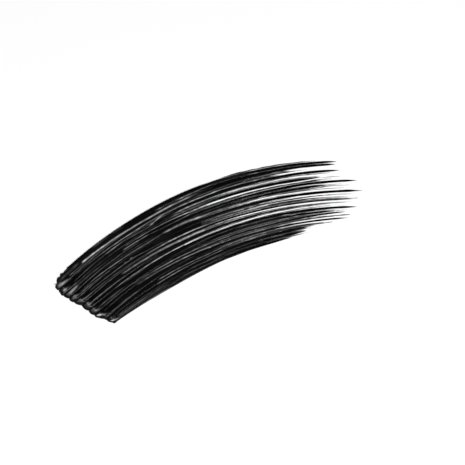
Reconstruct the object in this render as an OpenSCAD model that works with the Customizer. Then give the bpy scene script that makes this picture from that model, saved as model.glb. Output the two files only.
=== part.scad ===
// Mascara smear: one curved stroke of thick black paste laid on a flat surface
// by a bristle brush. Millimetres. Z = 0 is the surface, the origin is the middle
// of the stroke, +X runs along the stroke towards its tails.
// Every strip of paste is its own solid: the lanes under the bristle rows, the
// ridges ploughed up between them, and the fine hairs of the tail.

/* [Stroke] */
// length of the stroke along the outside of its bend
outer_len = 82.8; // [65:0.1:105]
// length of the stroke along the inside of its bend
inner_len = 67.7; // [50:0.1:85]
// width of the line where the brush was pressed down
contact_w = 19.2; // [14:0.1:26]
// how far the outside edge turns from start to end, in degrees
outer_turn = 44.1; // [20:0.1:60]
// how far the inside edge turns from start to end, in degrees
inner_turn = 31.5; // [15:0.1:50]
// direction in which the outside edge sets off, in degrees above +X
outer_heading = 44; // [30:0.1:60]
// direction in which the inside edge sets off, in degrees above +X
inner_heading = 37.4; // [25:0.1:55]
// direction of the pressed-down line, from the outside to the inside
contact_dir = -40.6; // [-70:0.1:-20]

/* [Paste] */
// height of the rounded lobes at the start
lobe_h = 1.05; // [0.5:0.05:2]
// height of the lanes halfway along the full part of the stroke
lane_h = 0.5; // [0.2:0.02:0.8]
// height of the ridges in the same place, where they are the grooves between lanes
ridge_h = 0.36; // [0.2:0.02:1]
// height of the ridges where they end as tails
tail_h = 0.14; // [0.08:0.01:0.3]
// thickness of the last film that a lane leaves
film_h = 0.05; // [0.03:0.01:0.1]
// width of the ridges and hairs, as a share of the width they were laid with
ridge_w = 1; // [0.7:0.05:1.2]

/* [Hidden] */

// Places along a strip are a share s of the stroke, 0 at the pressed-down line and
// 1 at its nominal end. Places across it are a share u, 0 outside and 1 inside.

// radii of the two edges
outer_r = outer_len / (outer_turn * PI / 180);
inner_r = inner_len / (inner_turn * PI / 180);

// a point on an arc that sets off from p in direction a and turns right
function arc(p, r, a, turn, s) =
  p + r * [sin(a) - sin(a - turn * s), cos(a - turn * s) - cos(a)];
inner_start = contact_w * [cos(contact_dir), sin(contact_dir)];
function outer_at(s) = arc([0, 0], outer_r, outer_heading, outer_turn, s);
function inner_at(s) = arc(inner_start, inner_r, inner_heading, inner_turn, s);
middle = (outer_at(0.5) + inner_at(0.5)) / 2;
function spot(s, u) = (1 - u) * outer_at(s) + u * inner_at(s) - middle;
// width of the stroke at s
function width_at(s) = norm(outer_at(s) - inner_at(s));

// smooth curve through five values at s = 0, 1/4, 1/2, 3/4 and 1
function slope(k, i) =
  i <= 0 ? k[1] - k[0] : i >= 4 ? k[4] - k[3] : (k[i + 1] - k[i - 1]) / 2;
function bend(k, s) =
  let (x = max(0, min(1, s)) * 4, i = min(3, floor(x)), t = x - i)
  let (a = k[i], b = k[i + 1], m = slope(k, i), n = slope(k, i + 1))
  let (v = a * (1 - 3 * t * t + 2 * t * t * t) + b * (3 * t * t - 2 * t * t * t)
    + m * (t - 2 * t * t + t * t * t) + n * (t * t * t - t * t))
  s < 0 ? v + m * 4 * s : s > 1 ? v + n * 4 * (s - 1) : v;

// Ridges, outside to inside: start, end, place across, half width, height factor.
RIDGES = [
  [-0.030, 0.970, [0.058, 0.050, 0.037, 0.044, 0.046], [0.034, 0.027, 0.025, 0.022, 0.016], 1.1],
  [-0.035, 0.965, [0.166, 0.142, 0.112, 0.090, 0.080], [0.007, 0.018, 0.025, 0.025, 0.015], 1.0],
  [0.004, 0.976, [0.236, 0.208, 0.188, 0.175, 0.168], [0.006, 0.013, 0.018, 0.018, 0.015], 1.0],
  [-0.040, 0.900, [0.270, 0.258, 0.252, 0.255, 0.262], [0.006, 0.011, 0.015, 0.018, 0.016], 0.95],
  [-0.036, 1.030, [0.348, 0.334, 0.336, 0.330, 0.320], [0.007, 0.016, 0.022, 0.022, 0.016], 1.1],
  [0.010, 0.924, [0.389, 0.382, 0.376, 0.374, 0.368], [0.004, 0.009, 0.014, 0.014, 0.012], 0.9],
  [-0.036, 1.046, [0.436, 0.418, 0.432, 0.450, 0.467], [0.008, 0.014, 0.018, 0.018, 0.016], 1.1],
  [-0.028, 1.008, [0.538, 0.520, 0.528, 0.555, 0.587], [0.008, 0.010, 0.010, 0.010, 0.008], 0.9],
  [0.030, 0.985, [0.612, 0.596, 0.592, 0.602, 0.632], [0.006, 0.012, 0.018, 0.007, 0.003], 0.9],
  [-0.026, 1.022, [0.655, 0.660, 0.657, 0.667, 0.700], [0.009, 0.018, 0.024, 0.020, 0.014], 1.05],
  [-0.026, 0.942, [0.755, 0.722, 0.706, 0.712, 0.738], [0.008, 0.010, 0.013, 0.014, 0.011], 0.9],
  [0.006, 0.980, [0.800, 0.756, 0.755, 0.766, 0.762], [0.005, 0.008, 0.010, 0.012, 0.010], 0.9],
  [-0.012, 0.986, [0.896, 0.842, 0.816, 0.824, 0.852], [0.009, 0.013, 0.015, 0.013, 0.011], 0.95],
  [0.010, 0.832, [0.928, 0.912, 0.904, 0.902, 0.905], [0.006, 0.014, 0.019, 0.018, 0.014], 0.95],
  [0.014, 0.820, [0.958, 0.954, 0.950, 0.950, 0.955], [0.005, 0.010, 0.014, 0.018, 0.015], 0.9],
  [-0.003, 0.762, [1.006, 1.014, 0.992, 0.992, 1.000], [0.010, 0.020, 0.016, 0.014, 0.012], 0.95]
];

// Where the slanting outer corner of the start runs: [s, u].
CORNER = [[-0.030, 0.086], [-0.012, 0.052], [0.028, 0.020], [0.060, 0]];

// Lanes, each between the ridge of its own number and the next: start, end, lobe
// height factor, where it becomes a film, and the two sides of the lobe that it
// starts in, which two or three neighbouring lanes may share.
LANES = [
  [-0.0370, 0.700, 0.90, 0.62, 0.090, 0.168],
  [-0.0440, 0.800, 1.00, 0.50, 0.168, 0.268],
  [-0.0410, 0.640, 0.98, 0.50, 0.168, 0.268],
  [-0.0420, 0.460, 1.00, 0.36, 0.268, 0.348],
  [-0.0405, 0.640, 0.95, 0.56, 0.348, 0.436],
  [-0.0405, 0.740, 0.97, 0.50, 0.348, 0.436],
  [-0.0365, 0.700, 1.00, 0.42, 0.436, 0.538],
  [-0.0315, 0.900, 1.00, 0.36, 0.538, 0.655],
  [-0.0315, 0.400, 0.95, 0.30, 0.538, 0.655],
  [-0.0300, 0.880, 0.97, 0.56, 0.655, 0.755],
  [-0.0300, 0.860, 0.95, 0.50, 0.755, 0.896],
  [-0.0230, 0.660, 0.95, 0.50, 0.740, 0.896],
  [-0.0120, 0.660, 0.90, 0.52, 0.896, 1.020],
  [-0.0120, 0.715, 0.92, 0.60, 0.896, 1.020],
  [-0.0120, 0.720, 0.95, 0.60, 0.896, 1.020]
];

// Hairs of the tail: start, end, place across, half width, height factor.
HAIRS = [
  [0.600, 0.905, [0.000, 0.000, 0.000, 0.012, 0.024], [0.006, 0.006, 0.006, 0.008, 0.005], 0.7],
  [0.905, 0.975, [0.256, 0.256, 0.256, 0.256, 0.257], [0.005, 0.005, 0.005, 0.005, 0.005], 0.6],
  [0.480, 0.912, [0.294, 0.294, 0.294, 0.294, 0.300], [0.009, 0.009, 0.010, 0.010, 0.007], 0.8],
  [0.750, 0.985, [0.400, 0.400, 0.400, 0.405, 0.420], [0.005, 0.005, 0.005, 0.006, 0.004], 0.6],
  [0.710, 1.000, [0.485, 0.485, 0.488, 0.510, 0.548], [0.007, 0.007, 0.008, 0.007, 0.004], 0.7],
  [0.420, 0.930, [0.624, 0.624, 0.630, 0.642, 0.660], [0.003, 0.003, 0.004, 0.005, 0.003], 0.5],
  [0.670, 0.955, [0.780, 0.780, 0.780, 0.790, 0.803], [0.006, 0.006, 0.006, 0.007, 0.005], 0.7],
  [0.670, 0.896, [0.862, 0.862, 0.862, 0.864, 0.880], [0.010, 0.010, 0.012, 0.013, 0.011], 0.8],
  [0.725, 0.816, [0.925, 0.925, 0.925, 0.928, 0.935], [0.007, 0.007, 0.007, 0.007, 0.005], 0.6]
];

// the places along the stroke at which every strip has a cross-section
STEPS = [
  -0.042, -0.039, -0.036, -0.032, -0.028, -0.024, -0.018, -0.010, 0, 0.015, 0.035, 0.06,
  0.10, 0.15, 0.21, 0.28, 0.35, 0.42, 0.49, 0.56, 0.63, 0.70, 0.77, 0.84, 0.90,
  0.95, 1.0
];
// the sections of a strip from a to b, with its own two ends
function stops(a, b) =
  concat([a], [for (s = STEPS) if (s > a + 0.001 && s < b - 0.008) s], [b]);

// how much of the stroke's length the rounding of a plan takes: the start of a
// ridge, of a lane and of a hair, and the tip of a ridge or hair
ridge_round = 0.012;
lane_round = 0.008;
hair_round = 0.08;
tip_round = 0.06;
// least half width at a rounded end
tip = 0.0012;
// how much of the way to the next ridge a ridge may fill
ridge_fill = 0.8;

// rounding of a strip's plan at its start and at its tip, 0 to 1
function round_in(s, a, n) =
  s <= a ? 0 : s >= a + n ? 1 : pow(1 - pow((a + n - s) / n, 3), 1 / 3);
function round_out(s, b, n) =
  s >= b ? 0 : s <= b - n ? 1 : sqrt(1 - pow((s - b + n) / n, 2));

// middle and half width of ridge i, and its distances to the ridges beside it
function ridge_mid(i, s) = bend(RIDGES[i][2], s);
function gap_in(i, s) = i == 0 ? 1 : (ridge_mid(i, s) - ridge_mid(i - 1, s)) / 2;
function gap_out(i, s) = i == 15 ? 1 : (ridge_mid(i + 1, s) - ridge_mid(i, s)) / 2;
function ridge_half(i, s) =
  min(ridge_w * bend(RIDGES[i][3], s), ridge_fill * gap_in(i, s), ridge_fill * gap_out(i, s))
  * round_in(s, RIDGES[i][0], ridge_round) * round_out(s, RIDGES[i][1], tip_round);

// heights along a ridge and along a lane
function ridge_top(i, s) =
  RIDGES[i][4] * lookup(s, [
    [RIDGES[i][0], 0.5 * ridge_h], [RIDGES[i][0] + 0.015, 1.1 * ridge_h],
    [0.10, ridge_h], [0.45, ridge_h], [0.75, 0.4 * ridge_h + 0.5 * tail_h],
    [0.95, tail_h], [1.05, 0.7 * tail_h]
  ]);
function lane_top(l, s) =
  lookup(s, [
    [l[0], 0.4 * lobe_h * l[2]], [l[0] + 0.004, 0.72 * lobe_h * l[2]],
    [l[0] + 0.010, 0.87 * lobe_h * l[2]], [l[0] + 0.027, lobe_h * l[2]],
    [l[0] + 0.045, 0.86 * lobe_h * l[2]], [l[0] + 0.085, 1.1 * lane_h],
    [0.18, lane_h], [l[3] * 0.75, 0.7 * lane_h],
    [l[3], 2 * film_h], [l[1], film_h]
  ]);

// a strip whose cross-sections are given as [s, left u, right u, height]
module strip(cuts) {
  n = len(cuts);
  shape = [[0, 0], [0, 0.55], [0.2, 0.9], [0.5, 1], [0.8, 0.9], [1, 0.55], [1, 0]];
  m = len(shape);
  points = [
    for (c = cuts)
      for (p = shape)
        let (q = spot(c[0], c[1] + p[0] * (c[2] - c[1])))
          [q[0], q[1], p[1] * c[3]]
  ];
  sides = [
    for (i = [0:n - 2])
      for (j = [0:m - 1])
        for (f = [
          [i * m + j, i * m + (j + 1) % m, (i + 1) * m + j],
          [i * m + (j + 1) % m, (i + 1) * m + (j + 1) % m, (i + 1) * m + j]
        ]) f
  ];
  first = [for (j = [0:m - 1]) m - 1 - j];
  last = [for (j = [0:m - 1]) (n - 1) * m + j];
  polyhedron(points = points, faces = concat(sides, [first, last]), convexity = 6);
}

module ridge(i) {
  r = RIDGES[i - 1];
  strip([
    for (s = stops(r[0], r[1]))
      let (c = ridge_mid(i - 1, s), w = max(tip, ridge_half(i - 1, s)))
      let (outside = i == 1 ? min(c + w - tip, max(c - w, lookup(s, CORNER))) : c - w)
        [s, outside, c + w, ridge_top(i - 1, s)]
  ]);
}

module lane(i) {
  l = LANES[i - 1];
  strip([
    for (s = stops(l[0], l[1]))
      let (k = round_in(s, l[0], lane_round), c = (l[4] + l[5]) / 2, h = (l[5] - l[4]) / 2)
      let (rounded = s < l[0] + lane_round)
      let (from = rounded ? c - h * k : 0, to = rounded ? c + h * k : 2)
      let (a = max(from, ridge_mid(i - 1, s) + ridge_half(i - 1, s)))
      let (b = min(to, ridge_mid(i, s) - ridge_half(i, s)))
      let (m = (a + b) / 2, w = max(tip, (b - a) / 2))
        [s, m - w, m + w, lane_top(l, s)]
  ]);
}

module hair(i) {
  h = HAIRS[i - 1];
  strip([
    for (s = stops(h[0], h[1]))
      let (k = round_in(s, h[0], hair_round) * round_out(s, h[1], tip_round))
      let (c = bend(h[2], s), w = max(tip, ridge_w * bend(h[3], s) * k))
        [s, c - w, c + w, h[4] * max(film_h, 0.8 * tail_h)]
  ]);
}

module lane_01() {
  color([0.06, 0.06, 0.065]) lane(1);
}
module lane_02() {
  color([0.06, 0.06, 0.065]) lane(2);
}
module lane_03() {
  color([0.06, 0.06, 0.065]) lane(3);
}
module lane_04() {
  color([0.06, 0.06, 0.065]) lane(4);
}
module lane_05() {
  color([0.06, 0.06, 0.065]) lane(5);
}
module lane_06() {
  color([0.06, 0.06, 0.065]) lane(6);
}
module lane_07() {
  color([0.06, 0.06, 0.065]) lane(7);
}
module lane_08() {
  color([0.06, 0.06, 0.065]) lane(8);
}
module lane_09() {
  color([0.06, 0.06, 0.065]) lane(9);
}
module lane_10() {
  color([0.06, 0.06, 0.065]) lane(10);
}
module lane_11() {
  color([0.06, 0.06, 0.065]) lane(11);
}
module lane_12() {
  color([0.06, 0.06, 0.065]) lane(12);
}
module lane_13() {
  color([0.06, 0.06, 0.065]) lane(13);
}
module lane_14() {
  color([0.06, 0.06, 0.065]) lane(14);
}
module lane_15() {
  color([0.06, 0.06, 0.065]) lane(15);
}
module ridge_01() {
  color([0.02, 0.02, 0.022]) ridge(1);
}
module ridge_02() {
  color([0.02, 0.02, 0.022]) ridge(2);
}
module ridge_03() {
  color([0.02, 0.02, 0.022]) ridge(3);
}
module ridge_04() {
  color([0.02, 0.02, 0.022]) ridge(4);
}
module ridge_05() {
  color([0.02, 0.02, 0.022]) ridge(5);
}
module ridge_06() {
  color([0.02, 0.02, 0.022]) ridge(6);
}
module ridge_07() {
  color([0.02, 0.02, 0.022]) ridge(7);
}
module ridge_08() {
  color([0.02, 0.02, 0.022]) ridge(8);
}
module ridge_09() {
  color([0.02, 0.02, 0.022]) ridge(9);
}
module ridge_10() {
  color([0.02, 0.02, 0.022]) ridge(10);
}
module ridge_11() {
  color([0.02, 0.02, 0.022]) ridge(11);
}
module ridge_12() {
  color([0.02, 0.02, 0.022]) ridge(12);
}
module ridge_13() {
  color([0.02, 0.02, 0.022]) ridge(13);
}
module ridge_14() {
  color([0.02, 0.02, 0.022]) ridge(14);
}
module ridge_15() {
  color([0.02, 0.02, 0.022]) ridge(15);
}
module ridge_16() {
  color([0.02, 0.02, 0.022]) ridge(16);
}
module hair_01() {
  color([0.12, 0.12, 0.125]) hair(1);
}
module hair_02() {
  color([0.12, 0.12, 0.125]) hair(2);
}
module hair_03() {
  color([0.12, 0.12, 0.125]) hair(3);
}
module hair_04() {
  color([0.12, 0.12, 0.125]) hair(4);
}
module hair_05() {
  color([0.12, 0.12, 0.125]) hair(5);
}
module hair_06() {
  color([0.12, 0.12, 0.125]) hair(6);
}
module hair_07() {
  color([0.12, 0.12, 0.125]) hair(7);
}
module hair_08() {
  color([0.12, 0.12, 0.125]) hair(8);
}
module hair_09() {
  color([0.12, 0.12, 0.125]) hair(9);
}

lane_01();
lane_02();
lane_03();
lane_04();
lane_05();
lane_06();
lane_07();
lane_08();
lane_09();
lane_10();
lane_11();
lane_12();
lane_13();
lane_14();
lane_15();
ridge_01();
ridge_02();
ridge_03();
ridge_04();
ridge_05();
ridge_06();
ridge_07();
ridge_08();
ridge_09();
ridge_10();
ridge_11();
ridge_12();
ridge_13();
ridge_14();
ridge_15();
ridge_16();
hair_01();
hair_02();
hair_03();
hair_04();
hair_05();
hair_06();
hair_07();
hair_08();
hair_09();
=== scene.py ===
"""A brushed smear of glossy black mascara on a white surface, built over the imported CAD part."""
import math

import bpy
import numpy as np
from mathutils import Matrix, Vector


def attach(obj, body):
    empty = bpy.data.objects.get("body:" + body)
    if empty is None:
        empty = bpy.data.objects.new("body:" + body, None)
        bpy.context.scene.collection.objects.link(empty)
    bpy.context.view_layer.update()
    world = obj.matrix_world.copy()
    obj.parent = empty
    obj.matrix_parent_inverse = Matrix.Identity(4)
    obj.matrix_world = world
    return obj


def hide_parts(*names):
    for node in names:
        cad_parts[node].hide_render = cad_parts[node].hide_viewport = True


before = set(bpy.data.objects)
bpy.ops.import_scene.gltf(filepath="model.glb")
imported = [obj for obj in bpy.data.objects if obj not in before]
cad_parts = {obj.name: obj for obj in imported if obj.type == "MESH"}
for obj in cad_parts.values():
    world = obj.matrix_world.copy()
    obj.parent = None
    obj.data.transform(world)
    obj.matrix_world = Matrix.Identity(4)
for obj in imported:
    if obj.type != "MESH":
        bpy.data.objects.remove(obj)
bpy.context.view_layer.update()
rng = np.random.default_rng(7)
MM = 0.001

# ------------------------------------------------------------ places on the stroke
# A place is a share s of the stroke's length, 0 at the pressed-down line and 1 at its
# nominal end, and a share u of its width, 0 outside the bend and 1 inside it. These are
# the driving sizes of the CAD stroke.
OUTER_LEN, OUTER_TURN, OUTER_HEADING = 82.8 * MM, math.radians(44.1), math.radians(44)
INNER_LEN, INNER_TURN, INNER_HEADING = 67.7 * MM, math.radians(31.5), math.radians(37.4)
CONTACT_W, CONTACT_DIR = 19.2 * MM, math.radians(-40.6)


def arc(start, length, turn, heading, s):
    """Points at the shares s of an arc that turns right."""
    a = heading - turn * s
    radius = length / turn
    return start + radius * np.stack([math.sin(heading) - np.sin(a), np.cos(a) - math.cos(heading)], -1)


def edge_points(s):
    """Points on the outer and the inner edge of the stroke, from its first corner."""
    inner_start = CONTACT_W * np.array([math.cos(CONTACT_DIR), math.sin(CONTACT_DIR)])
    return (arc(np.zeros(2), OUTER_LEN, OUTER_TURN, OUTER_HEADING, s),
            arc(inner_start, INNER_LEN, INNER_TURN, INNER_HEADING, s))


MIDDLE = sum(edge_points(np.array(0.5))) / 2


def spot(s, u):
    """The point at shares s and u."""
    outer, inner = edge_points(s)
    return outer + (inner - outer) * u[..., None] - MIDDLE


def shares(xy):
    """The shares s and u of the points xy, by Newton's method."""
    middle, step, rounds = 0.5, 1e-4, 8
    s, u = np.full(xy.shape[:-1], middle), np.full(xy.shape[:-1], middle)
    for _ in range(rounds):
        here = spot(s, u)
        ds = (spot(s + step, u) - here) / step
        du = (spot(s, u + step) - here) / step
        miss = xy - here
        area = ds[..., 0] * du[..., 1] - ds[..., 1] * du[..., 0]
        s = s + (miss[..., 0] * du[..., 1] - miss[..., 1] * du[..., 0]) / area
        u = u + (ds[..., 0] * miss[..., 1] - ds[..., 1] * miss[..., 0]) / area
    return s, u


# ------------------------------------------------------------ the CAD strips, section by section
ON_SURFACE = 1e-7  # a vertex lower than this lies on the surface, in metres
SAME_PLACE = 2e-7  # two points closer than this are over each other, in metres
DIGITS = 8  # decimals of a metre to which vertices are told apart


def sections(node):
    """Middle, two sides and height of each cross-section of a CAD strip, in no order."""
    co = np.array([v.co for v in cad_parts[node].data.vertices], float)
    co = np.unique(np.round(co, DIGITS), axis=0)
    low, top = co[co[:, 2] < ON_SURFACE], co[co[:, 2] >= ON_SURFACE]
    found = []
    for i in range(len(low)):
        for j in range(i + 1, len(low)):
            mid = (low[i, :2] + low[j, :2]) / 2
            near = np.hypot(*(top[:, :2] - mid).T) < SAME_PLACE
            if near.any():
                found.append((mid, low[i, :2], low[j, :2], top[near, 2].max()))
    return found


class Strip:
    """A CAD strip: its outer and inner side and its height at each section."""

    def __init__(self, node):
        rows = sections(node)
        mids = np.array([r[0] for r in rows])
        share = shares(mids)[0]
        order = np.argsort(share)
        self.share = share[order]
        across = [[shares(np.array(rows[k][side]))[1] for side in (1, 2)] for k in order]
        self.outer = np.array([min(pair) for pair in across])
        self.inner = np.array([max(pair) for pair in across])
        self.high = np.array([rows[k][3] for k in order])

    def at(self, s):
        """Outer side and inner side as shares u, and height, at the shares s."""
        s = np.clip(s, self.share[0], self.share[-1])
        return curve(self.share, self.outer, s), curve(self.share, self.inner, s), self.high_at(s)

    def high_at(self, s):
        """Height at the shares s."""
        return curve(self.share, self.high, np.clip(s, self.share[0], self.share[-1]))


def curve(x, y, q):
    """Smooth curve through the values y at x, read at q."""
    step = np.diff(x)
    rate = np.diff(y) / step
    slope = np.empty_like(y)
    slope[0], slope[-1] = rate[0], rate[-1]
    slope[1:-1] = (rate[:-1] * step[1:] + rate[1:] * step[:-1]) / (step[1:] + step[:-1])
    k = np.clip(np.searchsorted(x, q, side="right") - 1, 0, len(x) - 2)
    h = x[k + 1] - x[k]
    t = (q - x[k]) / h
    return (y[k] * (1 - 3 * t**2 + 2 * t**3) + y[k + 1] * (3 * t**2 - 2 * t**3)
            + slope[k] * h * (t - 2 * t**2 + t**3) + slope[k + 1] * h * (t**3 - t**2))


strips = {n: Strip(n) for n in sorted(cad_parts)}
LENGTH = 75 * MM  # of the stroke along its middle
WIDTH = 18 * MM  # of the stroke, about


# ------------------------------------------------------------ helpers
NOISE_CELLS = 64  # the noise repeats after so many features


def noise(x, y, seed):
    """Smooth seeded noise, -1 to 1, with a feature size of 1 in x and y."""
    grid = np.random.default_rng(seed).uniform(-1, 1, (NOISE_CELLS, NOISE_CELLS))
    xi, yi = np.floor(x).astype(int), np.floor(y).astype(int)
    fx, fy = x - xi, y - yi
    fx, fy = fx * fx * (3 - 2 * fx), fy * fy * (3 - 2 * fy)

    def g(i, j):
        return grid[(xi + i) % NOISE_CELLS, (yi + j) % NOISE_CELLS]

    return ((g(0, 0) * (1 - fx) + g(1, 0) * fx) * (1 - fy)
            + (g(0, 1) * (1 - fx) + g(1, 1) * fx) * fy)


def ease(x, a, b):
    """0 before a, 1 after b, smooth between."""
    t = np.clip((x - a) / (b - a), 0, 1)
    return t * t * (3 - 2 * t)


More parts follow.
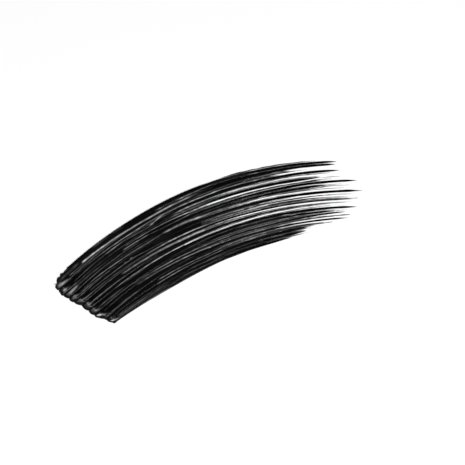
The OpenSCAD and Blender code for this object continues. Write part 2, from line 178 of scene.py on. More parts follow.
# The light marks, painted into the base colour, so they stay where they are when the light or
# the view changes. The first twelve are painted highlights: the catchlights on the lobes. The
# others are the light streaks along the run, in part paste dragged thin and scraped to a satin
# grey, in part a painted highlight where the paste catches the light. Each is a half width as a
# share of the width, then the points (s, u, how light it is there) that it runs by.
PAINTED_HIGHLIGHTS_AND_STREAKS = [
    (0.022, [(-0.030, 0.122, 0), (-0.022, 0.128, 0.52), (-0.010, 0.142, 0.56), (0.004, 0.152, 0.42),
             (0.03, 0.165, 0)]),
    (0.016, [(-0.033, 0.210, 0), (-0.025, 0.218, 0.70), (-0.018, 0.222, 0.55), (-0.008, 0.225, 0.15),
             (0.01, 0.225, 0)]),
    (0.020, [(-0.028, 0.300, 0), (-0.018, 0.302, 0.60), (0.00, 0.298, 0.55), (0.012, 0.295, 0.48),
             (0.02, 0.293, 0.2), (0.05, 0.292, 0)]),
    (0.015, [(-0.026, 0.380, 0), (-0.016, 0.382, 0.50), (-0.008, 0.392, 0.35), (0.004, 0.400, 0)]),
    (0.015, [(-0.022, 0.475, 0), (-0.012, 0.484, 0.48), (0.004, 0.494, 0.40), (0.016, 0.496, 0.20),
             (0.03, 0.496, 0)]),
    (0.012, [(-0.014, 0.562, 0), (-0.005, 0.568, 0.42), (0.004, 0.572, 0)]),
    (0.011, [(-0.016, 0.590, 0), (-0.008, 0.594, 0.62), (0.002, 0.596, 0.36), (0.015, 0.596, 0)]),
    (0.008, [(-0.024, 0.680, 0), (-0.016, 0.682, 0.36), (-0.008, 0.686, 0)]),
    (0.012, [(-0.018, 0.706, 0), (-0.008, 0.718, 0.52), (0.004, 0.726, 0.32), (0.02, 0.728, 0)]),
    (0.015, [(-0.026, 0.778, 0), (-0.018, 0.786, 0.80), (-0.008, 0.804, 0.62), (0.000, 0.826, 0.42),
             (0.010, 0.848, 0.25), (0.03, 0.860, 0)]),
    (0.013, [(-0.006, 0.952, 0), (0.000, 0.964, 0.80), (0.008, 0.974, 0.70), (0.018, 0.984, 0.50),
             (0.028, 0.990, 0.25), (0.05, 0.994, 0)]),
    (0.008, [(0.014, 0.930, 0), (0.020, 0.932, 0.36), (0.028, 0.936, 0)]),
    (0.012, [(0.078, 0.105, 0), (0.088, 0.105, 0.85), (0.12, 0.106, 0.75), (0.23, 0.110, 0.62),
             (0.25, 0.112, 0.50), (0.34, 0.115, 0.46), (0.37, 0.108, 0.55), (0.40, 0.104, 0.62),
             (0.43, 0.102, 0.45), (0.48, 0.098, 0.38), (0.54, 0.092, 0)]),
    (0.010, [(0.015, 0.126, 0), (0.03, 0.126, 0.33), (0.06, 0.125, 0.30), (0.10, 0.125, 0.24),
             (0.17, 0.128, 0)]),
    (0.008, [(0.02, 0.165, 0), (0.04, 0.165, 0.30), (0.12, 0.168, 0.34), (0.20, 0.170, 0.48),
             (0.29, 0.168, 0.50), (0.33, 0.160, 0.36), (0.42, 0.157, 0.36), (0.50, 0.156, 0.48),
             (0.56, 0.152, 0.52), (0.60, 0.149, 0.42), (0.72, 0.148, 0.42), (0.76, 0.147, 0)]),
    (0.009, [(0.15, 0.208, 0), (0.165, 0.207, 0.42), (0.205, 0.203, 0.45), (0.22, 0.202, 0.20),
             (0.27, 0.212, 0.30), (0.32, 0.214, 0.25), (0.36, 0.214, 0)]),
    (0.009, [(0.32, 0.206, 0), (0.335, 0.200, 0.46), (0.37, 0.170, 0.46), (0.395, 0.156, 0)]),
    (0.010, [(0.40, 0.214, 0), (0.43, 0.212, 0.38), (0.47, 0.210, 0.50), (0.50, 0.208, 0.42),
             (0.60, 0.208, 0.60), (0.66, 0.207, 0.60), (0.70, 0.207, 0)]),
    (0.012, [(0.38, 0.238, 0), (0.42, 0.238, 0.28), (0.50, 0.240, 0.36), (0.56, 0.236, 0.25),
             (0.62, 0.232, 0.34), (0.86, 0.230, 0.40), (0.91, 0.230, 0)]),
    (0.006, [(0.20, 0.265, 0), (0.23, 0.265, 0.38), (0.36, 0.264, 0.40), (0.42, 0.268, 0.42),
             (0.46, 0.272, 0.55), (0.50, 0.274, 0.68), (0.56, 0.277, 0.72), (0.80, 0.280, 0.70),
             (0.84, 0.28, 0)]),
    (0.014, [(0.01, 0.293, 0), (0.03, 0.293, 0.24), (0.10, 0.293, 0.22), (0.20, 0.294, 0)]),
    (0.007, [(0.205, 0.296, 0), (0.215, 0.296, 0.50), (0.30, 0.297, 0.42), (0.31, 0.298, 0.20),
             (0.36, 0.312, 0.22), (0.41, 0.310, 0.34), (0.47, 0.302, 0.34), (0.52, 0.296, 0.20),
             (0.60, 0.304, 0.12), (0.64, 0.304, 0.30), (0.68, 0.302, 0.10), (0.72, 0.300, 0)]),
    (0.007, [(0.04, 0.375, 0), (0.06, 0.375, 0.28), (0.10, 0.376, 0.36), (0.128, 0.380, 0.38),
             (0.14, 0.382, 0.52), (0.17, 0.383, 0.50), (0.19, 0.384, 0.40), (0.25, 0.385, 0.46),
             (0.28, 0.386, 0.42), (0.33, 0.378, 0.32), (0.36, 0.372, 0)]),
    (0.013, [(0.34, 0.373, 0), (0.365, 0.371, 0.46), (0.40, 0.370, 0.38), (0.44, 0.372, 0.44),
             (0.462, 0.380, 0.50), (0.475, 0.382, 0.66), (0.49, 0.384, 0.40), (0.55, 0.386, 0.34),
             (0.60, 0.372, 0.30), (0.66, 0.362, 0.30), (0.70, 0.360, 0)]),
    (0.010, [(0.46, 0.402, 0), (0.50, 0.406, 0.38), (0.53, 0.404, 0.52), (0.56, 0.410, 0.42),
             (0.62, 0.412, 0.52), (0.72, 0.414, 0.52), (0.76, 0.416, 0)]),
    (0.009, [(-0.01, 0.402, 0), (0.00, 0.402, 0.40), (0.03, 0.403, 0.38), (0.06, 0.405, 0.28),
             (0.12, 0.408, 0.22), (0.16, 0.410, 0)]),
    (0.008, [(0.178, 0.450, 0), (0.186, 0.444, 0.45), (0.196, 0.436, 0)]),
    (0.008, [(0.202, 0.450, 0), (0.211, 0.440, 0.45), (0.220, 0.430, 0)]),
    (0.007, [(0.02, 0.458, 0), (0.04, 0.458, 0.28), (0.12, 0.458, 0.26), (0.17, 0.455, 0.36),
             (0.23, 0.452, 0.36), (0.27, 0.465, 0.20), (0.33, 0.470, 0.18), (0.40, 0.470, 0)]),
    (0.013, [(0.47, 0.472, 0), (0.52, 0.470, 0.28), (0.56, 0.470, 0.36), (0.62, 0.475, 0.34),
             (0.72, 0.480, 0.40), (0.76, 0.480, 0)]),
    (0.008, [(-0.01, 0.498, 0), (0.00, 0.498, 0.42), (0.03, 0.496, 0.38), (0.06, 0.495, 0.28),
             (0.11, 0.494, 0.22), (0.26, 0.500, 0.24), (0.285, 0.498, 0.52), (0.31, 0.498, 0.44),
             (0.35, 0.499, 0.56), (0.42, 0.502, 0.56), (0.46, 0.505, 0.48), (0.55, 0.510, 0.52),
             (0.60, 0.514, 0.56), (0.72, 0.520, 0.58), (0.76, 0.522, 0)]),
    (0.014, [(0.145, 0.541, 0), (0.165, 0.542, 0.46), (0.20, 0.543, 0.38), (0.25, 0.545, 0.44),
             (0.36, 0.549, 0.46), (0.42, 0.552, 0.52), (0.48, 0.555, 0.50), (0.54, 0.560, 0.56),
             (0.62, 0.567, 0.62), (0.72, 0.575, 0.66), (0.76, 0.580, 0)]),
    (0.009, [(-0.008, 0.596, 0), (0.00, 0.595, 0.42), (0.05, 0.592, 0.42), (0.09, 0.589, 0.30),
             (0.15, 0.586, 0.22), (0.19, 0.586, 0)]),
    (0.006, [(0.09, 0.643, 0), (0.11, 0.641, 0.42), (0.15, 0.637, 0.50), (0.25, 0.630, 0.52),
             (0.27, 0.628, 0.68), (0.29, 0.627, 0.62), (0.33, 0.625, 0.68), (0.39, 0.623, 0.80),
             (0.43, 0.623, 0)]),
    (0.007, [(0.13, 0.655, 0), (0.15, 0.653, 0.22), (0.20, 0.650, 0.22), (0.24, 0.648, 0)]),
    (0.012, [(0.00, 0.707, 0), (0.02, 0.706, 0.28), (0.09, 0.703, 0.28), (0.15, 0.700, 0)]),
    (0.008, [(0.14, 0.736, 0), (0.165, 0.735, 0.36), (0.24, 0.734, 0.36), (0.27, 0.734, 0.44),
             (0.33, 0.735, 0.42), (0.38, 0.737, 0.34), (0.50, 0.742, 0.34), (0.58, 0.745, 0.40),
             (0.72, 0.750, 0.40), (0.78, 0.752, 0)]),
    (0.008, [(0.16, 0.773, 0), (0.175, 0.772, 0.40), (0.21, 0.769, 0.44), (0.26, 0.768, 0.36),
             (0.33, 0.770, 0.40), (0.45, 0.780, 0.38), (0.55, 0.788, 0.38), (0.60, 0.792, 0.46),
             (0.72, 0.797, 0.48), (0.78, 0.800, 0)]),
    (0.005, [(0.455, 0.790, 0), (0.465, 0.790, 0.60), (0.475, 0.789, 0)]),
    (0.009, [(0.00, 0.874, 0), (0.015, 0.870, 0.28), (0.05, 0.862, 0.28), (0.07, 0.856, 0.24),
             (0.10, 0.848, 0.26), (0.13, 0.844, 0.24), (0.16, 0.842, 0)]),
    (0.007, [(0.23, 0.862, 0), (0.25, 0.860, 0.42), (0.29, 0.859, 0.42), (0.32, 0.858, 0.34),
             (0.44, 0.858, 0.25), (0.447, 0.858, 0.42), (0.46, 0.856, 0.20), (0.50, 0.848, 0.38),
             (0.56, 0.844, 0.40), (0.62, 0.845, 0.30), (0.66, 0.840, 0)]),
    (0.018, [(0.56, 0.856, 0), (0.60, 0.858, 0.36), (0.68, 0.860, 0.38), (0.76, 0.862, 0.42),
             (0.84, 0.864, 0.45), (0.88, 0.866, 0)]),
    (0.007, [(0.222, 0.904, 0), (0.232, 0.902, 0.40), (0.26, 0.898, 0.36), (0.32, 0.890, 0.36),
             (0.34, 0.887, 0.24), (0.42, 0.886, 0.20), (0.49, 0.880, 0.34), (0.54, 0.874, 0.30),
             (0.58, 0.872, 0)]),
    (0.018, [(0.02, 0.970, 0), (0.04, 0.970, 0.30), (0.11, 0.972, 0.32), (0.15, 0.970, 0.24),
             (0.24, 0.967, 0.22), (0.28, 0.966, 0)]),
    (0.006, [(0.10, 1.022, 0), (0.13, 1.023, 0.40), (0.22, 1.022, 0.42), (0.27, 1.018, 0)]),
    (0.006, [(0.34, 0.930, 0), (0.38, 0.930, 0.24), (0.48, 0.932, 0.24), (0.52, 0.934, 0)]),
    (0.007, [(0.48, 0.956, 0), (0.52, 0.954, 0.26), (0.58, 0.950, 0.36), (0.62, 0.950, 0.30),
             (0.68, 0.950, 0)]),
    (0.006, [(0.28, 0.970, 0), (0.33, 0.971, 0.22), (0.46, 0.975, 0.20), (0.50, 0.976, 0)]),
    (0.010, [(0.69, 0.932, 0), (0.73, 0.932, 0.28), (0.78, 0.934, 0)]),
    (0.012, [(0.12, 0.036, 0), (0.15, 0.037, 0.28), (0.18, 0.038, 0.24), (0.21, 0.037, 0.10),
             (0.24, 0.037, 0.27), (0.27, 0.036, 0)]),
    (0.008, [(0.365, 0.074, 0), (0.385, 0.073, 0.40), (0.40, 0.072, 0.12), (0.44, 0.071, 0.14),
             (0.462, 0.070, 0.44), (0.48, 0.068, 0.30), (0.52, 0.060, 0.32), (0.56, 0.050, 0.36),
             (0.62, 0.036, 0)]),
    (0.018, [(0.55, 0.028, 0), (0.60, 0.026, 0.34), (0.64, 0.024, 0.32), (0.70, 0.022, 0.42),
             (0.76, 0.022, 0.50), (0.84, 0.024, 0)]),
    (0.018, [(-0.02, 0.090, 0), (0.00, 0.086, 0.28), (0.03, 0.084, 0.20), (0.06, 0.082, 0.28),
             (0.08, 0.082, 0)]),
    (0.012, [(-0.014, 0.048, 0), (-0.004, 0.032, 0.36), (0.008, 0.024, 0.28), (0.022, 0.028, 0.36),
             (0.045, 0.040, 0)]),
    (0.007, [(0.47, 0.120, 0), (0.52, 0.120, 0.24), (0.60, 0.118, 0.22), (0.64, 0.118, 0)]),
    (0.006, [(0.29, 0.184, 0), (0.34, 0.183, 0.24), (0.40, 0.180, 0.22), (0.43, 0.180, 0)]),
    (0.006, [(0.10, 0.350, 0), (0.15, 0.350, 0.22), (0.28, 0.352, 0.24), (0.34, 0.352, 0)]),
    (0.006, [(0.30, 0.683, 0), (0.34, 0.683, 0.16), (0.42, 0.684, 0.14), (0.46, 0.686, 0)]),
    (0.008, [(0.50, 0.700, 0), (0.60, 0.702, 0.26), (0.72, 0.706, 0.30), (0.78, 0.708, 0)]),
    (0.008, [(0.46, 0.720, 0), (0.52, 0.720, 0.30), (0.72, 0.724, 0.36), (0.82, 0.728, 0)]),
    (0.005, [(0.52, 0.764, 0), (0.58, 0.766, 0.26), (0.72, 0.770, 0.30), (0.80, 0.772, 0)]),
]
STREAK_REACH = 0.04  # how far from its middle a streak shows, as a share of the width
FLICKER, FLICKER_ALONG, FLICKER_ACROSS = 0.25, 110, 30  # how much its light varies, how often
WANDER, WANDER_ALONG = 0.15, 40  # how far it strays, in its half widths, and how often
RUN_GAIN = 0.3  # how much lighter the streaks are once past the thick start
SEED_WANDER, SEED_FLICKER = 700, 701


def highlight_and_streak_light(s, u):
    """How light the painted highlights and light streaks are at s and u, 0 to about 1."""
    light = np.zeros(u.shape)
    for k, (half, points) in enumerate(PAINTED_HIGHLIGHTS_AND_STREAKS):
        at, middle, strength = np.array(points).T
        if (at[0] > s.max() or at[-1] < s.min()
                or middle.min() - STREAK_REACH > u.max() or middle.max() + STREAK_REACH < u.min()):
            continue
        flicker = FLICKER * noise(s * FLICKER_ALONG, u * FLICKER_ACROSS + k, SEED_FLICKER)
        run = np.interp(s, at, strength) * (1 + flicker)
        wander = WANDER * half * noise(s * WANDER_ALONG, s * 0 + k, SEED_WANDER)
        across = np.exp(-(((u - np.interp(s, at, middle) - wander) / half) ** 2))
        light = np.maximum(light, run * across)
    return light * (1 + RUN_GAIN * ease(s, 0.2, 0.5))


UV_TILE = 100 * MM  # length of the stroke that one unit of the UV map covers


class Pile:
    """Collects closed tubes of paste, then makes one mesh of them."""

    def __init__(self):
        self.points, self.faces, self.thin, self.rough, self.uv, self.count = [], [], [], [], [], 0

    def tube(self, s, u, z, thin, rough):
        """A closed tube from s, u, z, thin and rough, each of (rows, places over the top).

        It is closed along the surface below and capped at both ends.
        """
        def over(a):
            return np.concatenate([a[:, :1], a, a[:, -1:]], 1)

        s, u, z, thin, rough = over(s), over(u), over(z), over(thin), over(rough)
        z[:, 0] = z[:, -1] = 0
        n, m = u.shape
        points = np.concatenate([spot(s, u), z[..., None]], -1)
        self.points.append(points.reshape(-1, 3))
        self.thin.append(thin.ravel())
        self.rough.append(rough.ravel())
        self.uv.append(np.stack([s * LENGTH, u * WIDTH], -1).reshape(-1, 2) / UV_TILE)
        i, j = np.meshgrid(np.arange(n - 1), np.arange(m), indexing="ij")
        a, b = i * m + j, i * m + (j + 1) % m
        quads = np.stack([a, a + m, b + m, b], -1).reshape(-1, 4) + self.count
        self.faces.extend(quads.tolist())
        self.faces.append([self.count + k for k in range(m)])
        self.faces.append([self.count + (n - 1) * m + k for k in reversed(range(m))])
        self.count += n * m

    def build(self, name, material):
        """The mesh object of all tubes, with its attributes, UV map and material."""
        mesh = bpy.data.meshes.new(name)
        mesh.from_pydata(np.concatenate(self.points).tolist(), [], self.faces)
        # the first attribute lightens the base colour: thinned paste and painted highlights
        for label, values in (("thin", self.thin), ("rough", self.rough)):
            layer = mesh.attributes.new(label, "FLOAT", "POINT")
            layer.data.foreach_set("value", np.concatenate(values).astype(np.float32))
        corner = np.zeros(len(mesh.loops), np.int32)
        mesh.loops.foreach_get("vertex_index", corner)
        brushed = mesh.uv_layers.new(name="brushed")
        brushed.data.foreach_set("uv", np.concatenate(self.uv)[corner].astype(np.float32).ravel())
        mesh.polygons.foreach_set("use_smooth", np.ones(len(mesh.polygons), bool))
        mesh.materials.append(material)
        mesh.update()
        obj = bpy.data.objects.new(name, mesh)
        bpy.context.scene.collection.objects.link(obj)
        return obj


# ------------------------------------------------------------ material
def paste(name, dark, light):
    """Black paste, brushed lengthwise: glossy and dark, but light grey, for thinned paste and painted
    highlights, where `thin` nears 1.
    """
    m = bpy.data.materials.new(name)
    m.use_nodes = True
    nodes, links = m.node_tree.nodes, m.node_tree.links
    shader = nodes["Principled BSDF"]
    shader.inputs["IOR"].default_value = 1.5
    shader.inputs["Specular IOR Level"].default_value = 0.25
    uv = nodes.new("ShaderNodeUVMap")
    uv.uv_map = "brushed"

    def streaky(scale_along, scale_across, detail):
        """Noise stretched along the stroke."""
        stretch = nodes.new("ShaderNodeMapping")
        stretch.inputs["Scale"].default_value = (scale_along, scale_across, 1)
        links.new(uv.outputs["UV"], stretch.inputs["Vector"])
        grain = nodes.new("ShaderNodeTexNoise")
        grain.inputs["Scale"].default_value = 1
        grain.inputs["Detail"].default_value = detail
        links.new(stretch.outputs["Vector"], grain.inputs["Vector"])
        return grain.outputs["Fac"]

    bump = nodes.new("ShaderNodeBump")
    bump.inputs["Strength"].default_value = 0.10
    bump.inputs["Distance"].default_value = 0.00005
    links.new(streaky(scale_along=25, scale_across=420, detail=3), bump.inputs["Height"])
    links.new(bump.outputs["Normal"], shader.inputs["Normal"])

    # the base colour runs from black to light grey with the attribute: thinned paste and painted
    # highlights
    # the lighter parts break up into fine lines
    thinness = nodes.new("ShaderNodeAttribute")
    thinness.attribute_name = "thin"
    lines = nodes.new("ShaderNodeMapRange")
    lines.inputs["From Min"].default_value = 0.3
    lines.inputs["From Max"].default_value = 0.7
    lines.inputs["To Min"].default_value = 0.55
    lines.inputs["To Max"].default_value = 1.35
    links.new(streaky(scale_along=60, scale_across=520, detail=2), lines.inputs["Value"])
    lit = nodes.new("ShaderNodeMath")
    lit.operation = "MULTIPLY"
    lit.use_clamp = True
    links.new(thinness.outputs["Fac"], lit.inputs[0])
    links.new(lines.outputs["Result"], lit.inputs[1])
    mixed = nodes.new("ShaderNodeMix")
    mixed.data_type = "RGBA"
    mixed.inputs["A"].default_value = (*dark, 1)
    mixed.inputs["B"].default_value = (*light, 1)
    links.new(lit.outputs["Value"], mixed.inputs["Factor"])
    links.new(mixed.outputs["Result"], shader.inputs["Base Color"])
    roughness = nodes.new("ShaderNodeAttribute")
    roughness.attribute_name = "rough"
    links.new(roughness.outputs["Fac"], shader.inputs["Roughness"])
    return m


SATIN_AND_HIGHLIGHT = (0.62, 0.62, 0.625)  # colour of the scraped paste, and of the painted highlights, at its lightest
black = paste("black_paste", (0.001, 0.001, 0.0011), SATIN_AND_HIGHLIGHT)
thin_black = paste("thin_paste", (0.003, 0.003, 0.0032), SATIN_AND_HIGHLIGHT)

# ------------------------------------------------------------ strips of paste
ROW_STEP = 0.005  # of the stroke's length
START_STEP = 0.0012  # the same, in the lobes
LOBES_PAST = 0.05  # share of the length by which the lobes are over
OVERLAP = 0.0016  # how far a strip reaches under its neighbours, as a share of the width


def rows(start, end):
    """Shares from start to end, closer together in the lobes."""
    fine_end = min(end, max(start, LOBES_PAST))
    fine = np.arange(start, fine_end, START_STEP)
    return np.append(np.concatenate([fine, np.arange(fine_end, end - ROW_STEP / 2, ROW_STEP)]), end)


DISPLAY_GAMMA = 2.2


def light_to_thin(light):
    """Attribute value that gives a light mark of this display lightness, thinned paste and painted
    highlights alike.
    """
    return np.clip(light, 0, 1) ** DISPLAY_GAMMA / SATIN_AND_HIGHLIGHT[0]


# How each lane gives out: the share s where its solid sheet ends, then rows of share s, cover
# along the lane's outer side and cover along its inner side
LANE_TAILS = {
    1: (0.66, [(0.66, 1, 1), (0.80, 0.9, 0.9), (0.90, 0.7, 0.7), (0.94, 0, 0)]),
    2: (0.66, [(0.66, 1, 1), (0.75, 1, 0.95), (0.785, 0.9, 0.6), (0.82, 0.5, 0), (0.87, 0.2, 0),
               (0.92, 0, 0)]),
    3: (0.50, [(0.50, 1, 1), (0.56, 0.5, 1), (0.62, 0.0, 1), (0.75, 0.0, 0.95), (0.88, -0.1, 0.85),
               (0.915, 0, 0)]),
    4: (0.46, [(0.46, 1, 1), (0.50, 0.3, 0.9), (0.60, -0.2, 0.7), (0.88, -0.4, 0.6), (0.92, 0, 0)]),
    5: (0.60, [(0.60, 1, 1), (0.70, 0.8, 0.75), (0.80, 0.6, 0.55), (0.88, 0.5, 0.35), (0.95, 0.1, 0)]),
    6: (0.48, [(0.48, 1, 1), (0.58, 0.85, 0.7), (0.66, 0.7, 0.4), (0.72, 0.55, 0.3), (0.80, 0.4, 0.2),
               (0.90, 0.2, 0.1), (1.0, 0, 0)]),
    7: (0.48, [(0.48, 1, 1), (0.58, 0.75, 0.85), (0.66, 0.55, 0.7), (0.72, 0.45, 0.65), (0.80, 0.3, 0.5),
               (0.90, 0.1, 0.25), (1.0, 0, 0.02)]),
    8: (0.48, [(0.48, 1, 1), (0.56, 0.8, 0.9), (0.64, 0.55, 0.75), (0.70, 0.4, 0.6), (0.80, 0.25, 0.45),
               (0.90, 0.1, 0.2), (0.99, 0, 0)]),
    9: (0.39, [(0.38, 0.55, 0.0), (0.58, 0.55, 0.0), (0.66, 0.4, 0.0), (0.75, 0.4, 0.1),
               (0.85, 0.3, 0.15), (0.96, 0, 0)]),
    10: (0.58, [(0.58, 1, 1), (0.70, 0.9, 0.85), (0.82, 0.75, 0.65), (0.90, 0.5, 0.4), (0.97, 0, 0)]),
    11: (0.54, [(0.54, 1, 1), (0.66, 0.85, 0.9), (0.78, 0.7, 0.7), (0.88, 0.5, 0.5), (0.96, 0, 0.05)]),
    12: (0.50, [(0.50, 1, 1), (0.62, 0.85, 0.75), (0.72, 0.75, 0.55), (0.84, 0.45, 0.2),
               (0.90, 0.2, 0.1), (0.97, 0, 0)]),
    13: (0.50, [(0.50, 1, 1), (0.62, 0.85, 0.85), (0.74, 0.65, 0.75), (0.82, 0.5, 0.7), (0.90, 0, 0.1)]),
    14: (0.64, [(0.64, 1, 1), (0.74, 0.9, 0.9), (0.80, 0.6, 0.6), (0.835, 0, 0)]),
    15: (0.66, [(0.66, 1, 1), (0.73, 0.85, 0.75), (0.78, 0.5, 0.2), (0.81, 0, 0)]),
}
HAIR_PITCH = 0.26 * MM  # from hair to hair across a lane
HAIR_HIGH = 0.03 * MM
HAIR_STEP = 0.004  # of the stroke's length, from row to row of a hair
HAIR_LEAD = 0.04  # how far a hair starts back under its lane's sheet, as a share of the length
LEAST_HAIRS, LEAST_ROWS = 3, 5  # hairs in a lane, and rows in a hair that is worth making
SPREAD, DROP = 0.9, 0.25  # the hairs' thresholds run from -DROP to SPREAD - DROP of cover
GOLDEN, LANE_SHIFT = 0.618, 0.37  # these deal the thresholds out unevenly, lane by lane
THINNING = 0.35  # cover over its threshold below which a hair thins
GONE = 0.04  # share of its full width below which a hair has ended
REOPENING = (4, 9)  # lanes whose hairs start again after a break
HAIR_LEAST_HALF = 0.0002  # smallest half width of a hair, as a share of the width
SEED_HAIR_PLACE, SEED_HAIR_WIDTH = 500, 600

# The front of the stroke, as shares u and s of its points, and the sides of the lobes along it
FRONT_U = [0.09, 0.11, 0.20, 0.25, 0.35, 0.39, 0.48, 0.54, 0.60,
           0.66, 0.70, 0.755, 0.79, 0.85, 0.90, 0.95, 1.00, 1.03]
FRONT_S = [-0.033, -0.037, -0.040, -0.044, -0.038, -0.040, -0.035, -0.029, -0.031,
           -0.028, -0.030, -0.028, -0.028, -0.019, -0.011, -0.010, -0.002, 0.015]
LOBE_SIDES = np.array([0.090, 0.168, 0.268, 0.348, 0.436, 0.538, 0.655, 0.755, 0.896, 1.025])
NOTCH = 0.0028  # how far the paste stands back between two lobes, as a share of the length
FRONT_DEPTH = 0.03  # share of the length over which the rows straighten behind the front


def in_lobe(u):
    """Place across the lobe that u is in, -1 to 1."""
    k = np.clip(np.searchsorted(LOBE_SIDES, u) - 1, 0, len(LOBE_SIDES) - 2)
    middle, half = (LOBE_SIDES[k] + LOBE_SIDES[k + 1]) / 2, (LOBE_SIDES[k + 1] - LOBE_SIDES[k]) / 2
    return np.clip((u - middle) / half, -1, 1)


def with_front(s, u):
    """The rows s, moved so that the first one follows the front of the stroke."""
    front = np.interp(u, FRONT_U, FRONT_S) + NOTCH * np.abs(in_lobe(u)) ** 4
    return s + (front - s[0]) * (1 - ease(s, s[0, 0], s[0, 0] + FRONT_DEPTH))


def gap(number, s):
    """Outer and inner side, as shares u, of the gap between ridge `number` and the next."""
    return strips[f"ridge_{number:02d}"].at(s)[1], strips[f"ridge_{number + 1:02d}"].at(s)[0]


def lane_hairs(pile, number):
    """The fine hairs that a lane's sheet breaks up into."""
    solid_end, tail = LANE_TAILS[number]
    at, outer_cover, inner_cover = np.array(tail).T
    start = solid_end - HAIR_LEAD
    a, b = gap(number, np.array([0.6 * solid_end + 0.4 * at[-1]]))
    count = max(LEAST_HAIRS, int(round(float(b[0] - a[0]) * WIDTH / HAIR_PITCH)))
    thresholds = (np.arange(count) * GOLDEN + LANE_SHIFT * number) % 1 * SPREAD - DROP
    for k in range(count):
        v = (k + 0.5) / count
        s = np.arange(start, at[-1] + 0.03, HAIR_STEP)
        cover = np.interp(s, at, outer_cover * (1 - v) + inner_cover * v)
        # past the last row of the table the cover runs out fast
        cover = np.where(s > at[-1], cover - (s - at[-1]) * 4, cover)
        # a hair thins where its lane's cover falls under its own threshold, and ends there
        full = np.clip((cover - thresholds[k]) / THINNING, 0, 1)
        full *= 1 + 0.3 * noise(s * 70, s * 0 + k * 3, SEED_HAIR_WIDTH + number)
        gone = np.flatnonzero((full < GONE) & (s > solid_end))
        if number in REOPENING and len(gone):
            last = len(s) - np.argmax(full[::-1] > GONE)
        else:
            last = gone[0] + 1 if len(gone) else len(s)
        if last < LEAST_ROWS:
            continue
        s, full = s[:last], full[:last]
        a, b = gap(number, s)
        width = b - a
        half = np.maximum(0.5 * width / count * np.minimum(full * 1.15, 1.15), HAIR_LEAST_HALF)
        middle = a + width * (v + 0.12 / count * noise(s * 30, s * 0 + k, SEED_HAIR_PLACE + number))
        u = middle[:, None] + half[:, None] * np.array([-1.0, 0, 1])
        s = np.broadcast_to(s[:, None], u.shape)
        high = HAIR_HIGH * (0.4 + 0.6 * np.clip(full, 0, 1)) * rng.uniform(0.7, 1.15)
        z = high[:, None] * np.array([0.35, 1, 0.35])
        # every other hair is light, so that the tails stay lined
        bright = k % 2 == 0
        light = (0.36 if bright else 0.04) * ease(s, start, start + 0.12) + 0.08 * ease(s, 0.75, 0.95)
        # the painted highlights and light streaks lighten the hairs as well
        light = np.maximum(light, (1.0 if bright else 0.3) * highlight_and_streak_light(s, u))
        pile.tube(s, u, z, light_to_thin(light), np.full_like(z, 0.3))


LANE_BLUNT, RIDGE_BLUNT = 0.012, 0.02  # a piece starts as wide, or high, as it is this far on
LOBE_FROM, LOBE_TO = -0.01, 0.055  # shares of the length between which the lobes level out
RIM_DROP, RIM_DEPTH = 0.22, 0.026  # how much lower the paste starts, and over what share
PITCH, FINE_PITCH, RIDGE_PITCH = 0.30, 0.15, 0.2  # of the comb marks, in millimetres
LUMP = 0.7  # size of a lobe's lumps, in millimetres
PATCH = 0.25  # width of the lighter patches between the streaks, in millimetres
LOWEST, HIGHEST = 0.15, 1.15  # bounds of a lane's profile, as shares of its height
RAGGED = 0.018  # how far the outer edge strays behind the first lobe, as a share of the width
# Places across each kind of piece, and the seeds of its noise, to which its number is added
LANE_PLACES, RIDGE_PLACES, HAIR_PLACES = 25, 11, 5
SEED_LOBE, SEED_GROOVE, SEED_FINE_GROOVE, SEED_PATCH = 17, 40, 80, 90
SEED_RIDGE_GROOVE, SEED_RIDGE_WIDTH, SEED_RIDGE_PLACE, SEED_TAIL_WIDTH = 140, 200, 230, 300
SEED_RAGGED = 251
FIRST_RIDGE, LAST_RIDGE = 1, 16


def lane_piece(number):
    """A lane: rounded lobes at the start, a combed sheet along the run, then its hairs."""
    strip = strips[f"lane_{number:02d}"]
    pile = Pile()
    s = rows(strip.share[0], LANE_TAILS[number][0])
    high = strip.high_at(s)
    a, b, _ = strip.at(np.maximum(s, s[0] + LANE_BLUNT))
    a, b = a - OVERLAP, b + OVERLAP
    v = np.linspace(-1, 1, LANE_PLACES)[None]
    u = (a + b)[:, None] / 2 + v * (b - a)[:, None] / 2
    s = np.broadcast_to(s[:, None], u.shape)
    across = u * WIDTH / MM
    # nearly flat lanes with rounded sides, out of lobes with one crown each
    lobe = 1 - ease(s, LOBE_FROM, LOBE_TO)
    sheet_crown = 0.93 + 0.07 * (1 - np.abs(v) ** 10)
    lobe_crown = 0.72 + 0.28 * (1 - np.abs(in_lobe(u)) ** 9)
    crown = (1 - lobe) * sheet_crown + lobe * lobe_crown
    groove = noise(across / PITCH, s * 5 + number * 7, SEED_GROOVE + number)
    fine_groove = noise(across / FINE_PITCH, s * 9 + number * 3, SEED_FINE_GROOVE + number)
    groove = groove + 0.5 * fine_groove
    # painted highlights and light streaks, which lighten the base colour
    light = highlight_and_streak_light(s, u)
    relief = 0.008 + 0.03 * np.clip(light, 0, 0.6)
    rim = 1 - RIM_DROP * (1 - ease(s, s[0, 0], s[0, 0] + RIM_DEPTH))
    lumps = noise(across / LUMP, s * 60, SEED_LOBE + number)
    profile = crown * rim + (1 - lobe) * relief * groove + 0.035 * lobe * lumps
    patches = np.clip(noise(across / PATCH, s * 14, SEED_PATCH + number) + 0.1, 0, 1)
    patchy = 0.06 * patches * ease(s, 0.05, 0.2)
    z = high[:, None] * np.clip(profile, LOWEST, HIGHEST)
    rough = 0.16 + 0.25 * np.clip(light, 0, 1) + 0.16 * (1 - ease(s, s[0, 0] + 0.01, s[0, 0] + 0.05))
    pile.tube(with_front(s, u), u, z, light_to_thin(light + patchy), rough)
    lane_hairs(pile, number)
    return pile.build(f"lane_{number:02d}_paste", black)


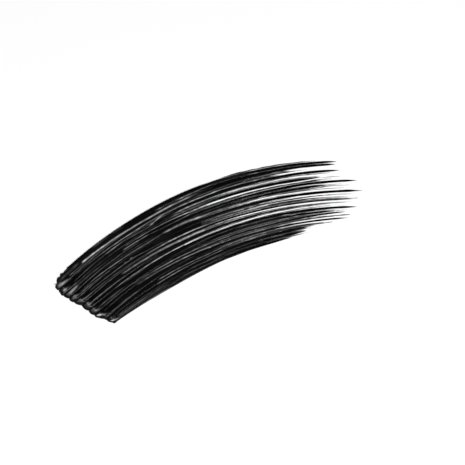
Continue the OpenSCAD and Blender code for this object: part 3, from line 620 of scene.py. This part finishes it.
def ridge_piece(number):
    """A ridge: a groove between two lanes along the run, then a rounded tail of its own."""
    strip = strips[f"ridge_{number:02d}"]
    pile = Pile()
    s = rows(strip.share[0], strip.share[-1])
    a, b, _ = strip.at(s)
    if number == FIRST_RIDGE:
        # the outer edge is ragged just behind the first lobe
        ragged = RAGGED * noise(s * 130, s * 0, SEED_RAGGED)
        a = a + ragged * ease(s, -0.03, -0.015) * (1 - ease(s, 0.02, 0.07))
    high = strip.high_at(np.maximum(s, s[0] + RIDGE_BLUNT))
    late = ease(s, 0.35, 0.6)
    swell = 0.10 * late * noise(s * 34, s * 0 + number, SEED_RIDGE_WIDTH + number)
    half = (b - a) / 2 * (1 + swell) + OVERLAP * (1 - late)
    middle = (a + b) / 2 + 0.001 * late * noise(s * 22, s * 0 + number, SEED_RIDGE_PLACE + number)
    high = high * (1 - 0.6 * ease(s, 0.45, 0.8))
    v = np.linspace(-1, 1, RIDGE_PLACES)[None]
    u = middle[:, None] + v * half[:, None]
    s = np.broadcast_to(s[:, None], u.shape)
    hollow = 0.84 + 0.03 * np.abs(v) ** 2
    flat = 0.7 + 0.3 * (1 - np.abs(v) ** 8)
    # a sunken top along the run turns into a rounded one in the tail
    convex = ease(s, 0.25, 0.75)
    if number in (FIRST_RIDGE, LAST_RIDGE):
        # the two outermost ridges are rounded on the side that faces outwards
        outward = v if number == LAST_RIDGE else -v
        hollow = 0.87 - 0.27 * np.clip(outward, 0, 1) ** 4
    across = u * WIDTH / MM
    groove = noise(across / RIDGE_PITCH, s * 6 + number * 7, SEED_RIDGE_GROOVE + number)
    z = high[:, None] * (flat * convex + hollow * (1 - convex)) * (1 + 0.04 * groove)
    # painted highlights and light streaks in the base colour, fainter from the middle of the run on
    light = highlight_and_streak_light(s, u) * (1 - 0.65 * ease(s, 0.45, 0.6))
    pile.tube(s, u, z, light_to_thin(light), 0.17 + 0.2 * np.clip(light, 0, 1))
    return pile.build(f"ridge_{number:02d}_paste", black)


def hair_piece(number):
    """A tail hair, which keeps to the inner side of its CAD strip."""
    strip = strips[f"hair_{number:02d}"]
    pile = Pile()
    s = rows(strip.share[0], strip.share[-1])
    a, b, high = strip.at(s)
    half = (b - a) / 2 * (0.85 + 0.2 * noise(s * 50, s * 0 + number, SEED_TAIL_WIDTH + number))
    v = np.linspace(-1, 1, HAIR_PLACES)[None]
    u = b[:, None] + (v - 1) * half[:, None]
    s = np.broadcast_to(s[:, None], u.shape)
    z = (0.5 * high)[:, None] * (0.4 + 0.6 * (1 - np.abs(v) ** 2))
    thin = light_to_thin(np.full_like(z, 0.12) + 0.1 * np.abs(v))
    pile.tube(s, u, z, thin, np.full_like(z, 0.3))
    return pile.build(f"hair_{number:02d}_paste", thin_black)


for kind, make, slot in (("lane", lane_piece, "paste"), ("ridge", ridge_piece, "paste"),
                         ("hair", hair_piece, "thin_paste")):
    for node in [n for n in strips if n.startswith(kind)]:
        piece = make(int(node[-2:]))
        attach(piece, "root")
        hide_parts(node)


# ------------------------------------------------------------ floor, light and camera
def plain(name, colour, rough):
    """A matt material of one colour."""
    m = bpy.data.materials.new(name)
    m.use_nodes = True
    shader = m.node_tree.nodes["Principled BSDF"]
    shader.inputs["Base Color"].default_value = (*colour, 1)
    shader.inputs["Roughness"].default_value = rough
    shader.inputs["Specular IOR Level"].default_value = 0.0
    return m


FLOOR_SIZE = 1.2
FLOOR_DROP = 0.00002  # so that the floor doesn't flicker with the undersides
bpy.ops.mesh.primitive_plane_add(size=FLOOR_SIZE, location=(0, 0, -FLOOR_DROP))
floor = bpy.context.object
floor.name = "floor"
floor.data.materials.append(plain("floor_white", (0.99, 0.99, 0.99), 0.9))


def softbox(name, azimuth, tilt, distance, size, radiance):
    """A square soft light aimed at the origin; azimuth from +X, tilt from straight up, in degrees."""
    a, t = math.radians(azimuth), math.radians(tilt)
    back = Vector((math.cos(a) * math.sin(t), math.sin(a) * math.sin(t), math.cos(t)))
    data = bpy.data.lights.new(name, "AREA")
    data.shape = "SQUARE"
    data.size = size
    data.energy = radiance * math.pi * size * size
    lamp = bpy.data.objects.new(name, data)
    bpy.context.scene.collection.objects.link(lamp)
    lamp.location = back * distance
    lamp.rotation_mode = "QUATERNION"
    lamp.rotation_quaternion = back.to_track_quat("Z", "Y")


softbox("key", azimuth=-50, tilt=30, distance=1.0, size=0.28, radiance=28)
softbox("start", azimuth=-140, tilt=24, distance=1.0, size=0.26, radiance=20)

world = bpy.data.worlds.new("studio")
bpy.context.scene.world = world
world.use_nodes = True
wn, wl = world.node_tree.nodes, world.node_tree.links
place = wn.new("ShaderNodeTexCoord")
split = wn.new("ShaderNodeSeparateXYZ")
ramp = wn.new("ShaderNodeValToRGB")
ramp.color_ramp.elements[0].position = 0.15
ramp.color_ramp.elements[0].color = (0.5, 0.5, 0.5, 1)
ramp.color_ramp.elements[1].position = 0.5
ramp.color_ramp.elements[1].color = (0.03, 0.03, 0.03, 1)
wl.new(place.outputs["Generated"], split.inputs[0])
wl.new(split.outputs["Z"], ramp.inputs[0])
wl.new(ramp.outputs[0], wn["Background"].inputs["Color"])

scene = bpy.context.scene
scene.view_settings.view_transform = "Standard"
FIELD = 120.9 * MM  # what the camera sees across, at the surface
DISTANCE = 0.6  # from the surface up to the camera
AIM = (6.29 * MM, -2.34 * MM)  # the point it looks straight down on
camera = bpy.data.objects.new("camera", bpy.data.cameras.new("camera"))
scene.collection.objects.link(camera)
camera.location = (*AIM, DISTANCE)
camera.data.lens = camera.data.sensor_width * DISTANCE / FIELD
camera.data.clip_start, camera.data.clip_end = 0.01, 20
scene.camera = camera
